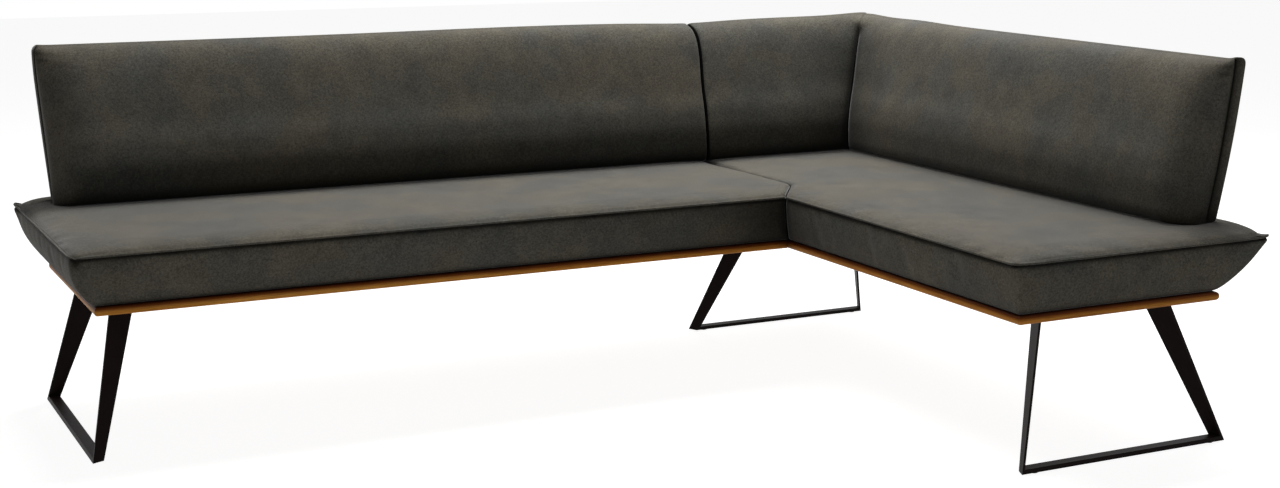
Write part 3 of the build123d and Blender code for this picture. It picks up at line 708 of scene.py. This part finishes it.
def draw_ear(seat, points, drops, top_count, centre):
    # The corner of the seam is drawn out and lifted, the rows under it fill out, and the top folds beside it
    corner = seat.corners[seat.ear.corner]
    outward = np.sign(corner - centre)
    outward = outward / np.linalg.norm(outward)
    d = np.linalg.norm(points[:, :2] - corner, axis=1)
    near = bell(d, 0, EAR_SIZE)
    fill = np.interp(drops, (0, 0.0022, 0.0046, 0.0080, 0.0130, 0.021, 0.05),
                     (0, 0.004, 0.0085, 0.008, 0.007, 0.004, 0))
    pull = near * np.interp(drops, (0, 0.016, 0.050, 0.100), (1, 0.95, 0.35, 0))
    points[:, :2] += outward * (seat.ear.reach * pull + fill * near)[:, None]
    points[:, 2] += seat.ear.lift * pull
    aside = (points[:, :2] - corner) @ np.array([outward[1], -outward[0]])
    points[:top_count, 2] -= (EAR_FOLD * bell(d, 0.024, 0.010) * bell(aside, 0, 0.014))[:top_count]


def seam_shadow(seat, points, drops, shade):
    # How dark the cloth is painted in shade beside the seam and towards the inner corner
    dark = np.interp(drops, (0, 0.0022, 0.0046, 0.0080, 0.0130), (0, 0.85, 0.70, 0.12, 0))
    dark[:len(shade)] = shade
    corner = seat.corners[seat.inner.corner]
    past = np.abs(points[:, :2] - corner).min(1) + 0.6 * np.clip(points[:, 1] - corner[1] - 0.04, 0, 1)
    into = np.linalg.norm(points[:, :2] - corner, axis=1)
    gloom = seat.inner.gloom * (0.6 * bell(into, 0, 0.15) + 0.4 * bell(into, 0, 0.60))
    gloom *= (past < 0.08) * np.interp(drops, (0.004, 0.012), (0, 1))
    gloom[:len(shade)] = 0
    return np.maximum(dark, gloom)


def seat_cushion(name, seat, material, joint_shade_material):
    seat.corners = [np.array(c, float) for c in seat.corners]
    set_columns(seat)
    levels = [seat_level(seat, drop) for drop in DROPS]
    top, shade, clear = seat_top(seat, levels[0])
    top_count = len(top)
    grid = np.arange(top_count).reshape(len(seat.places[0]), len(seat.places[1]))
    faces = list(zip(grid[:-1, :-1].ravel(), grid[1:, :-1].ravel(), grid[1:, 1:].ravel(), grid[:-1, 1:].ravel()))
    rim = np.concatenate([grid[:, 0], grid[-1, 1:], grid[-2::-1, -1], grid[0, -2:0:-1]])
    count = len(rim)
    rim_line = top[rim]
    middles = (rim_line + np.roll(rim_line, -1, 0)) / 2
    from_shown, from_hidden = nearest_edge(seat, rim_line, True), nearest_edge(seat, rim_line, False)
    shown = from_shown <= from_hidden + 1e-5
    face_shown = nearest_edge(seat, middles, True) <= nearest_edge(seat, middles, False)

    # The side rows, and an underside that rises over the dust cover
    rows = [np.concatenate([part[:-1] for part in level]) for level in levels[1:]]
    inward = rows[-1].mean(0)[:2] - rows[-1][:, :2]
    under = rows[-1].copy()
    under[:, :2] += inward / np.linalg.norm(inward, axis=1)[:, None] * 0.022
    under[:, 2] = PLINTH_TOP + 0.0036
    points = np.concatenate([top, *rows, under])
    rings = [rim] + [top_count + k * count + np.arange(count) for k in range(len(DROPS))]
    in_joint = []
    for k in range(len(DROPS)):
        high, low = rings[k], rings[k + 1]
        for a in range(count):
            b = (a + 1) % count
            # The faces in the joint take the painted shade
            if k < len(rows) and not face_shown[a]:
                in_joint.append(len(faces))
            faces.append((high[b], high[a], low[a], low[b]))

    drops = np.concatenate([np.zeros(top_count), np.repeat(DROPS[1:] + DROPS[-1:], count)])
    loose = np.ones(len(points), bool)
    loose[top_count:-count] = np.tile(shown & (from_hidden > 1e-4), len(rows))
    below = np.arange(len(points)) >= top_count
    side = below & (drops > SEAM_ROWS_END) & (drops < LOW_ROWS_START)
    # The column at the inner corner, whose points get painted shade for the crack
    crack = [ring[np.linalg.norm(rim_line[:, :2] - seat.corners[seat.inner.corner], axis=1).argmin()]
             for ring in rings[1:-1]]
    centre = np.mean(seat.corners, axis=0)
    draw_ear(seat, points, drops, top_count, centre)
    seam_shade = seam_shadow(seat, points, drops, shade)
    seam_shade[crack] = CRACK_SHADE
    tuck = seat.tuck
    corner = seat.corners[tuck.corner]
    d = np.linalg.norm(points[:, :2] - (corner - np.sign(corner - centre) * 0.006), axis=1)
    pull = bell(d, 0, tuck.size) * np.interp(drops, (0, 0.008, 0.030), (1, 0.9, 0))
    points += np.array(tuck.move) * pull[:, None]
    # Painted shade in the fold of the tucked corner
    seam_shade = np.maximum(
        seam_shade, tuck.dark * bell(d, 0, 0.012) * np.interp(drops, (0, 0.012, 0.030), (1, 0.8, 0)))
    lip_size = LIP_RADIUS * (1 - tuck.dark * bell(d[rim], 0, 0.016))
    # A little unevenness of the side panels
    uneven = waves(points * (1, 1, 0.5), 0.13, 11) * SIDE_WAVES
    level = np.clip((points[:, 2] - PLINTH_TOP) / 0.03, 0, 1)
    outward = points[:, :2] - centre
    outward = np.sign(outward) * (np.abs(outward) > 0.2)
    points[:, :2] += outward * (uneven * side * level)[:, None]

    piece = make_mesh(name, points, faces, material)
    darken_faces(piece, in_joint, joint_shade_material)
    open_top = np.zeros(len(points))
    open_top[:top_count] = clear
    mark(piece, "open_top", open_top)
    mark(piece, "seam_shade", seam_shade)
    held = np.where(loose, 0.0, 1.0)
    held[below & ~side] = 1.0
    held[rim] = 1.0
    inflate(piece, held, np.where(below, SIDE_CAP, TOP_CAP))
    co = np.array([vertex.co for vertex in piece.data.vertices], float)
    co[:top_count, 2] = np.minimum(co[:top_count, 2], np.maximum(points[:top_count, 2], SEAT_TOP))
    piece.data.vertices.foreach_set("co", co.astype(np.float32).ravel())
    tidy(piece)
    soften(piece)
    # The lip starts where the seam comes out of the joint and ends where it goes back in
    first = next(k for k in range(count) if shown[k] and not shown[k - 1])
    order = (first + np.arange(shown.sum())) % count
    sewn_lip(name.replace("upholstery", "lip"), points[rim[order]], lip_size[order], material)
    return piece


def build_seats(fabric, joint_shade_fabric):
    # Corners run anticlockwise at the height of the seam, and edge i runs from corner i to the next. The sides
    # are the four sides of the top panel, each with its seam heights at the corners.
    left = LEFT - 0.007
    inner_x, joint_x = INNER_X - HAIRLINE, JOINT_X - HAIRLINE
    long_seat = seat_cushion("long_seat_upholstery", SimpleNamespace(
        corners=[(left, INNER_Y), (inner_x, INNER_Y), (joint_x, MITRE_Y), (joint_x, REAR), (left, REAR)],
        radii=(0.026, 0, 0, 0, 0.009),
        edges=[
            Edge(0.030, 0.3, True, 0.115, 0.16), HIDDEN, HIDDEN,
            Edge(0.131, 0.3, True, 0.075, 0.1), Edge(0.0465, 1.1, True, 0.085, 0.5),
        ],
        sides=[[0], [1, 2], [3], [4]],
        seams=[(0.4770, 0.4770), (0.4770, JOINT_SEAM_Z, JOINT_SEAM_Z), (JOINT_SEAM_Z, 0.4785), (0.4785, 0.4770)],
        inner=Inner(1, 0, (-0.0008, 0.0006), 0.6),
        ear=Ear(4, 0.008, 0.006),
        tuck=Tuck(0, (0.0035, 0.0035, -0.0035), 0.016, 0.75),
        strip=Strip(1, 0.803, 0.017),
    ), fabric, joint_shade_fabric)

    inner_x, joint_x = INNER_X + HAIRLINE, JOINT_X + HAIRLINE
    short_seat = seat_cushion("short_seat_upholstery", SimpleNamespace(
        corners=[
            (inner_x, FRONT), (RIGHT, FRONT), (RIGHT, REAR), (joint_x, REAR), (joint_x, MITRE_Y), (inner_x, INNER_Y),
        ],
        radii=(0.012, 0.009, 0.028, 0, 0, 0),
        edges=[
            Edge(0.017, 0.3, True, 0.115, 0.2), Edge(0.131, 0.28, True, 0.075, 0.1),
            Edge(0.131, 0.28, True, 0.075, 0.1), HIDDEN, HIDDEN, Edge(0.027, 0.3, True, 0.115, 0.16),
        ],
        sides=[[0], [1], [2], [3, 4, 5]],
        seams=[
            (0.4760, 0.4775), (0.4775, 0.482), (0.482, JOINT_SEAM_Z), (JOINT_SEAM_Z, JOINT_SEAM_Z, 0.4770, 0.4760),
        ],
        inner=Inner(5, 5, (0.0008, -0.0006), 0.15),
        ear=Ear(1, 0.001, 0.003),
        tuck=Tuck(0, (-0.0040, 0.0, 0.0020), 0.030, 0.0),
        strip=Strip(0, 1.218, 0.015),
    ), fabric, joint_shade_fabric)
    for piece, node in ((long_seat, "long_seat"), (short_seat, "short_seat")):
        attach(piece, "root")
        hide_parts(node + "_cover", node + "_foam")


# Backrests

# Front face: how far it leans back at shares of the height
HEIGHT_SHARES = (0, 0.04, 0.10, 0.21, 0.36, 0.52, 0.69, 0.83, 0.90, 0.945, 0.972, 0.990, 1)
LEAN_SHARES = (0.07, 0.03, 0.0, 0, 0.07, 0.22, 0.37, 0.51, 0.605, 0.69, 0.77, 0.86, 0.955)
FRONT_FOOT_Y, FRONT_LEAN = 0.644, 0.160
REAR_FOOT_Y, REAR_LEAN, REAR_BOW = 0.784, 0.040, 0.006
JOINT_GAP = 0.0006
JOINT_ROUNDING = 0.0125
# Distances of the rings of points from a free end, a joint end and the mitre
FREE_NEAR = (
    0, 0.0004, 0.0008, 0.0012, 0.0028, 0.0060, 0.0100, 0.0160, 0.0240, 0.0340, 0.0460, 0.0600, 0.0770, 0.0960, 0.1180)
JOINT_NEAR = (0, 0.0006, 0.0020, 0.0042, 0.0074, 0.0115, 0.0180, 0.0290, 0.0440)
MITRE_NEAR = (0, 0.0030, 0.0070, 0.0120, 0.0190, 0.0280, 0.0390, 0.0530, 0.0710)
RING_STEP = 0.022
# Groove in front of the seam at a free end: for its first rings, how far ahead, how deep and how dark its painted
# shade
GROOVE_STEP = 0.0004
GROOVE = ((0, 0, 0.5), (0.0018, 0.0032, 1.0), (0.0042, 0.0028, 0.9), (0.0085, 0.0012, 0.25))
# Creases from the top corner of a free end into the front: height share, slope and depth
CORNER_CREASES = ((0.955, 0.25, 0.0030), (0.925, 0.90, 0.0030))
END_POWER = 2.15
SHORT_END_Y = FRONT + 0.124
MITRE_MEAN_Y = 0.70
OPEN_SHARE = 0.68
BACK_CAP = 0.0030


def smooth_table(xs, ys, count=80):
    # A smooth line through the table, with no overshoot
    xs, ys = np.array(xs, float), np.array(ys, float)
    slope = np.diff(ys) / np.diff(xs)
    m = np.zeros(len(xs))
    m[0], m[-1] = slope[0], slope[-1]
    for i in range(1, len(xs) - 1):
        m[i] = 0 if slope[i - 1] * slope[i] <= 0 else 2 * slope[i - 1] * slope[i] / (slope[i - 1] + slope[i])
    x = np.linspace(xs[0], xs[-1], count)
    k = np.clip(np.searchsorted(xs, x) - 1, 0, len(xs) - 2)
    h = xs[k + 1] - xs[k]
    t = (x - xs[k]) / h
    y = (
        (2 * t ** 3 - 3 * t ** 2 + 1) * ys[k] + (t ** 3 - 2 * t ** 2 + t) * h * m[k]
        + (-2 * t ** 3 + 3 * t ** 2) * ys[k + 1] + (t ** 3 - t ** 2) * h * m[k + 1]
    )
    return x, y


FINE_H, FINE_LEAN = smooth_table(HEIGHT_SHARES, LEAN_SHARES)


def front_y(h):
    return FRONT_FOOT_Y + FRONT_LEAN * np.interp(h, FINE_H, FINE_LEAN)


def rear_y(h):
    return REAR_FOOT_Y + REAR_LEAN * h + REAR_BOW * np.sin(math.pi * np.clip(h, 0, 1))


def back_profile():
    # Loop in (y, height share): from the top seam down the front, along the underside and up the rear
    down = np.concatenate([
        [1.0, 0.9985, 0.996, 0.990, 0.981, 0.969, 0.954, 0.936, 0.914],
        np.linspace(0.885, 0.10, 24), [0.075, 0.052, 0.034, 0.020, 0.010, 0.0035],
    ])
    front = [(front_y(h), h) for h in down]
    seam_y, top_y = rear_y(1.0) - BAND, rear_y(1.0)
    front[:2] = [(seam_y, 1.0030), (seam_y - 0.0028, 1.0008)]
    front = [(y + 0.010 * max(0.0, 1 - h / 0.02) ** 2, h) for y, h in front]
    under = [(y, 0.0) for y in np.linspace(front[-1][0] + 0.006, rear_y(0) - 0.010, 7)]
    rear = [(rear_y(h) - 0.006 * max(0.0, 1 - h / 0.02) ** 2 - 0.004 * max(0.0, (h - 0.975) / 0.02) ** 2, h)
            for h in down[::-1]]
    rear[-3:] = [(top_y - 0.0042, 0.9930), (top_y - 0.0062, 0.9965), (top_y - 0.0090, 0.9990)]
    top = [(seam_y + 0.0105, 1.0020), (seam_y + 0.0048, 1.0012), (seam_y + 0.0020, 1.0030)]
    return front, under, rear, top


PROFILE = back_profile()
N_FRONT, N_UNDER, N_REAR = (len(part) for part in PROFILE[:3])
LOOP = np.array(sum(PROFILE, []), float)
LOOP_H = np.clip(LOOP[:, 1], 0, 1)
LOOP_Z = BACK_LOW + (BACK_HIGH - BACK_LOW) * LOOP[:, 1]
ON_FRONT = np.arange(len(LOOP)) < N_FRONT


def free_ring(distance):
    # A ring at a distance from a free end: its y and z, a push along the bench and its painted shade. The front
    # closes on the seam of the rear shell.
    y, h = LOOP[:, 0].copy(), LOOP[:, 1]
    seam = rear_y(LOOP_H) - BAND
    ahead = (np.arange(len(y)) < N_FRONT + N_UNDER) & (y < seam)
    depth = np.where(ahead, seam - y, 0)
    inward, dark = np.zeros(len(y)), np.zeros(len(y))
    for level, slope, deep in CORNER_CREASES:
        here = bell(h + slope * distance, level, 0.013) * bell(distance, 0, 0.045)
        y[ahead] += (deep * here)[ahead]
        # Painted shade along the creases
        dark = np.maximum(dark, 0.5 * here * ahead)
    if distance < GROOVE_STEP * len(GROOVE):
        ahead_by, inward_by, shade = GROOVE[round(distance / GROOVE_STEP)]
        near = np.clip(depth / 0.012, 0, 1)
        y[ahead] = np.maximum(y, seam - ahead_by)[ahead]
        inward = near * inward_by * np.clip(h / 0.03, 0, 1)
        dark = near * shade * ahead
    else:
        reach = 0.030 + 0.072 * np.clip(h / 0.35, 0, 1) - 0.02 * np.clip((h - 0.8) / 0.2, 0, 1)
        t = np.clip(1 - distance / reach, 0, 1)
        swell = (1 - t ** END_POWER) ** (1 / END_POWER)
        y[ahead] = (seam + (y - seam) * swell)[ahead]
    share = np.where(ahead, (seam - y) / np.maximum(depth, 1e-6), 0)
    inward = inward - 0.012 * np.sin(math.pi * share) * bell(distance, 0, 0.04) * np.clip(1 - h / 0.5, 0, 1)
    return y, LOOP_Z, inward, dark


def joint_ring(distance):
    # The same at a distance from a joint end, whose rim is rounded
    ring = np.column_stack([LOOP[:, 0], LOOP_Z])
    if distance < JOINT_ROUNDING:
        inset = JOINT_ROUNDING - math.sqrt(max(0.0, JOINT_ROUNDING ** 2 - (JOINT_ROUNDING - distance) ** 2))
        tangent = np.roll(ring, -1, 0) - np.roll(ring, 1, 0)
        normal = np.stack([tangent[:, 1], -tangent[:, 0]], 1)
        normal /= np.maximum(np.linalg.norm(normal, axis=1), 1e-9)[:, None]
        flip = np.sign(((ring - ring.mean(0)) * normal).sum(1).sum())
        ring -= normal * flip * inset
        ring[:, 1] = np.maximum(ring[:, 1], BACK_LOW)
    return ring[:, 0], ring[:, 1], np.zeros(len(ring)), np.zeros(len(ring))


def free_end_x(base, drawn_in, rounding):
    # The end flares with height; its top corner is drawn in a little and rounded
    h = LOOP_H
    upper = np.clip((h - 0.75) / 0.25, 0, 1)
    return base - 0.024 * h + drawn_in * upper ** 2 + rounding * np.clip((h - 0.955) / 0.045, 0, 1) ** 2.5


def joint_shift():
    # The joint between the backrests bends a little along its height
    return np.interp(LOOP_H, (0, 0.10, 0.25, 0.38, 0.58, 0.75, 0.90, 1.0),
                     (-0.0047, -0.0085, -0.0115, -0.0095, -0.0047, 0.0030, 0.0075, 0.0060))


def place_ring(x, y, z, free_distance, joint_distance):
    # The top dips towards the joint and rises a little behind it, and the top corner of a free end is an ear,
    # higher on the short wing, whose rings give no distance to the joint
    points = np.stack([x, y, z], 1)
    h = LOOP_H
    if joint_distance is not None:
        dip = -0.0045 * bell(joint_distance, 0, 0.15) + 0.0040 * bell(joint_distance, 0.5, 0.4)
        points[:, 2] += dip * np.clip((h - 0.6) / 0.4, 0, 1)
        points[:, 2] -= 0.0034 * bell(joint_distance, 0, 0.060) * np.clip(1 - h / 0.12, 0, 1)
    if free_distance is not None:
        corner = np.clip(1 - np.abs(1.0 - h) / 0.10, 0, 1) ** 2 * bell(free_distance, 0, 0.016)
        points[:, 2] += (0.0012 if joint_distance is not None else 0.0050) * corner
    return points


def crease(points, x_mitre, far_rise):
    # Rounds the turn at the mitre: a tight sewn crease in front, a broad round corner at the top and the rear
    x, y, h = points[:, 0], points[:, 1], LOOP_H
    a = x_mitre - x
    top = np.clip((h - 0.86) / 0.11, 0, 1)
    top = top * top * (3 - 2 * top)
    upper = np.clip((h - 0.75) / 0.25, 0, 1)
    r = np.where(ON_FRONT, 0.006 + 0.060 * top, 0.032 + 0.012 * top)
    inside = a < r
    angle = np.clip(1 - a / r, 0, 1) * math.pi / 4
    points[:, 0], points[:, 1] = (
        np.where(inside, x_mitre - r + r * np.sin(angle), x), np.where(inside, y - r + r * np.cos(angle), y))
    sewn = np.where(ON_FRONT, 1 - top, 0) * np.clip(h / 0.05, 0, 1)
    pinch = 0.7 * 0.0042 * bell(a, 0, 0.008) * sewn
    bulge = 0.0045 * (a / 0.030) * np.exp(1 - a / 0.030) * sewn
    points[:, 0] += pinch
    points[:, 1] += pinch - bulge
    points[:, 2] += 0.0075 * bell(a, 0, 0.110) * upper + far_rise * bell(a, 0.27, 0.13) * upper
    return points


def turn(points):
    return np.stack([points[:, 1] + ACROSS, points[:, 0] - ACROSS, points[:, 2]], 1)


def close_free_end(faces, ring, flip):
    # Quads between the seam in front and the rear run of the last ring
    front, under = ring[:N_FRONT], ring[N_FRONT:N_FRONT + N_UNDER]
    rear, top = ring[N_FRONT + N_UNDER:][:N_REAR][::-1], ring[N_FRONT + N_UNDER + N_REAR:]
    for k in range(N_FRONT - 1):
        quad = (front[k], front[k + 1], rear[k + 1], rear[k])
        faces.append(quad[::-1] if flip else quad)
    faces.append((front[0], rear[0], *top))
    faces.append((front[-1], *under, rear[-1]))


def back_cushion(name, rings, darks, opens, in_joint, direction, free_at_end, material, joint_shade_material):
    # A tube through the rings, with one end free and the other in a joint
    size = len(LOOP)
    points = np.concatenate(rings)
    faces = []
    for k in range(len(rings) - 1):
        a, b = k * size, (k + 1) * size
        faces += [(a + m, a + (m + 1) % size, b + (m + 1) % size, b + m) for m in range(size)]
    end = (len(rings) - 1) * size if free_at_end else 0
    close_free_end(faces, list(range(end, end + size)), free_at_end)
    uneven = waves(points, 0.16, 5) * 0.0016 + waves(points, 0.06, 8) * 0.0005
    face_front = np.tile(ON_FRONT & (LOOP_H > 0.03) & (LOOP_H < 0.93), len(rings))
    points[face_front] += direction[face_front] * uneven[face_front][:, None]
    piece = make_mesh(name, points, faces, material)
    darken_faces(piece, in_joint, joint_shade_material)
    mark(piece, "seam_shade", np.concatenate(darks))
    mark(piece, "open_top", np.concatenate(opens))
    inflate(piece, np.where(face_front, 0.0, 1.0), np.full(len(points), BACK_CAP))
    tidy(piece)
    soften(piece)
    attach(piece, "root")
    return piece


def build_backs(fabric, joint_shade_fabric):
    # The long backrest: free at the left, flat against its neighbour at the right
    size, shift = len(LOOP), joint_shift()
    start, end = LEFT + 0.0685, JOINT_X - JOINT_GAP
    length = end - start
    x0 = free_end_x(start, 0.004, 0.010)
    rings, darks = [], []
    for place in spread(length, FREE_NEAR, JOINT_NEAR, RING_STEP):
        # Near the joint the rings are those of a joint end
        y, z, inward, dark = joint_ring(length - place) if length - place < 0.05 else free_ring(place)
        x = x0 + (end + shift - x0) * (place / length) + inward
        rings.append(place_ring(x, y, z, place, length - place))
        darks.append(dark)
    direction = np.tile((0.0, -1.0, 0.0), (len(rings) * size, 1))
    # The last strips of faces, at the joint end, take the painted shade
    piece = back_cushion(
        "long_back_upholstery", rings, darks, [np.zeros(size)] * len(rings),
        range((len(rings) - 4) * size, (len(rings) - 1) * size), direction, False, fabric, joint_shade_fabric)
    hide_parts("long_back_cover", "long_back_foam")

    # The corner backrest: from the joint to the mitre, then along the short wing to its free end
    start = JOINT_X + JOINT_GAP
    length = ACROSS + MITRE_MEAN_Y - start
    rings, darks = [], []
    for place in spread(length, JOINT_NEAR, MITRE_NEAR, RING_STEP):
        y, z, _, dark = joint_ring(place)
        x = start + shift + (y + ACROSS - start - shift) * (place / length)
        rings.append(crease(place_ring(x, y, z, None, place * 1.4), y + ACROSS, 0.0))
        darks.append(dark)
    first_leg = len(rings)
    start = SHORT_END_Y + ACROSS
    length = ACROSS + MITRE_MEAN_Y - start
    x0 = free_end_x(start, 0.0, 0.004)
    other, other_darks = [], []
    for place in spread(length, FREE_NEAR, MITRE_NEAR, RING_STEP):
        y, z, inward, dark = free_ring(place)
        x = x0 + (y + ACROSS - x0) * (place / length) + inward
        other.append(turn(crease(place_ring(x, y, z, place, None), y + ACROSS, 0.0040)))
        other_darks.append(dark)
    rings += other[::-1][1:]
    darks += other_darks[::-1][1:]
    direction = np.zeros((len(rings) * size, 3))
    direction[:first_leg * size, 1] = -1
    direction[first_leg * size:, 0] = -1
    # The joint end and the crease at the mitre take the painted shade
    in_joint = list(range(3 * size))
    for k in (first_leg - 2, first_leg - 1):
        in_joint += [k * size + m for m in range(N_FRONT - 1) if 0.03 < LOOP_H[m] < 0.84]
    # The front of the short wing keeps at least this share of its colour under the painted crease shade
    opens = [OPEN_SHARE * ON_FRONT * np.clip(LOOP_H / 0.10, 0, 1) * np.clip((k - first_leg) / 10, 0, 1)
             for k in range(len(rings))]
    piece = back_cushion(
        "corner_back_upholstery", rings, darks, opens, in_joint, direction, True, fabric, joint_shade_fabric)
    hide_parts("corner_back_cover", "corner_back_foam", "short_back_cover", "short_back_foam")


set_camera()
set_stage()
paint_cad_nodes()
fabric = fabric_material("dark_microfibre")
# A near black cloth without sheen, painted shade for the joints and cracks between the cushions
joint_shade_fabric = plain_material("microfibre_painted_shade_in_joints", (0.003, 0.003, 0.003), (0.008, 0.008, 0.007), 400.0, 0.95,
                            specular=0.03)
build_seats(fabric, joint_shade_fabric)
build_backs(fabric, joint_shade_fabric)
